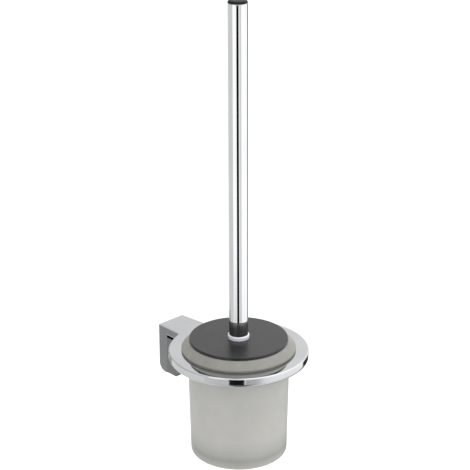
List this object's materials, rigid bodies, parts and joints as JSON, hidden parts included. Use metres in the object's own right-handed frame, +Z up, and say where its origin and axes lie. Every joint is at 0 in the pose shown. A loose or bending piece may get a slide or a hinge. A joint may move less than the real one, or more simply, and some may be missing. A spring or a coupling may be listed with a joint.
{
  "type": "toilet brush holder",
  "caption": "Wall-mounted toilet brush set: chrome bracket with a ring, frosted glass cup with a bevelled flange, and a lidded brush on a long tube handle.",
  "frame": {"origin": "on the wall plane, midway between the two wall screw holes", "axes": "+Z up along the handle, the object stands out from the wall towards -Y, +X to the right seen from in front of the wall"},
  "size_m": [0.136, 0.1645, 0.451],
  "materials": {
    "chrome_casting": "polished",
    "chrome_tube": "polished",
    "silver_trim": "bright",
    "steel": "plain",
    "frosted_glass": "sandblasted",
    "black_plastic": "fine satin",
    "grey_plastic": "moulded",
    "white_plastic": "moulded",
    "white_nylon": "nylon filament"
  },
  "bodies": {
    "bracket": {"ring_bracket": "chrome_casting", "seat_ring": "grey_plastic"},
    "cover": {"screw_cover": "chrome_casting"},
    "grub": {"cover_screw": "steel"},
    "cup": {"glass_cup": "frosted_glass"},
    "lid_set": {"lid": "black_plastic", "base_ring": "silver_trim"},
    "brush": {"collar": "black_plastic", "handle_tube": "chrome_tube", "handle_cap": "black_plastic", "stem": "steel", "lid_washer": "steel", "lid_nut": "steel"},
    "brush_head": {"brush_core": "white_plastic", "bristles": "white_nylon"}
  },
  "joints": [
    {"name": "cup_lift", "type": "slide", "parent": "bracket", "child": "cup", "axis": [0, 0, 1], "range_m": [0, 0.12]},
    {"name": "lid_lift", "type": "slide", "parent": "cup", "child": "lid_set", "axis": [0, 0, 1], "range_m": [0, 0.12]},
    {"name": "handle_turn", "type": "hinge", "parent": "lid_set", "child": "brush", "pos_m": [0, -0.0965, 0.048], "axis": [0, 0, 1], "continuous": true},
    {"name": "head_unscrew", "type": "hinge", "parent": "brush", "child": "brush_head", "pos_m": [0, -0.0965, -0.002], "axis": [0, 0, 1], "continuous": true},
    {"name": "cover_slide", "type": "slide", "parent": "bracket", "child": "cover", "axis": [0, 0, -1], "range_m": [0, 0.045]},
    {"name": "cover_screw_turn", "type": "hinge", "parent": "cover", "child": "grub", "pos_m": [0, -0.0153, -0.019], "axis": [0, 0, 1], "continuous": true}
  ]
}
